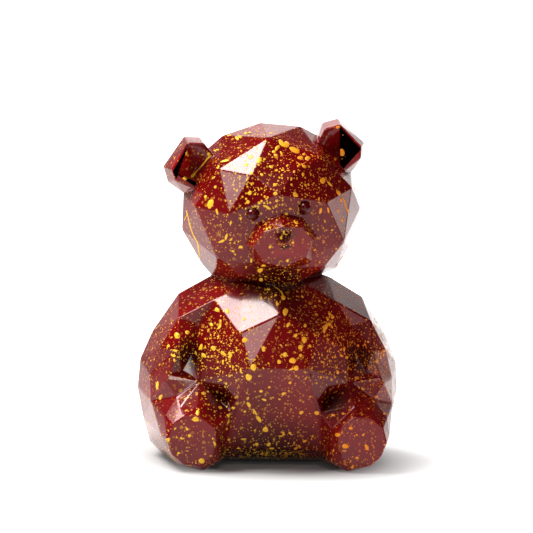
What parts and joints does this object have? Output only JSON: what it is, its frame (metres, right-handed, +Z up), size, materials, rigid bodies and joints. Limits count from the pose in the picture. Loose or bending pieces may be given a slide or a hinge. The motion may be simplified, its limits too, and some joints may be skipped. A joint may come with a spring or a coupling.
{
  "type": "faceted sitting bear figurine",
  "caption": "Low-poly sitting bear figure with tilted head, moulded as two hollow half shells bonded along the outline seam, with set-in bead eyes.",
  "frame": {"origin": "on the floor, in the middle of the figure's overall length, width and depth box", "axes": "+Z up, the bear faces -Y, +X to the bear's left"},
  "size_m": [0.1116, 0.082, 0.1452],
  "materials": {
    "shell": "high gloss burgundy, spattered with gold paint",
    "bond": "satin bonding bead, hidden inside",
    "eye": "high gloss dark red"
  },
  "bodies": {
    "root": {"front_shell": "shell", "back_shell": "shell", "seam_bead": "bond", "eye_right": "eye", "eye_left": "eye"}
  },
  "joints": []
}
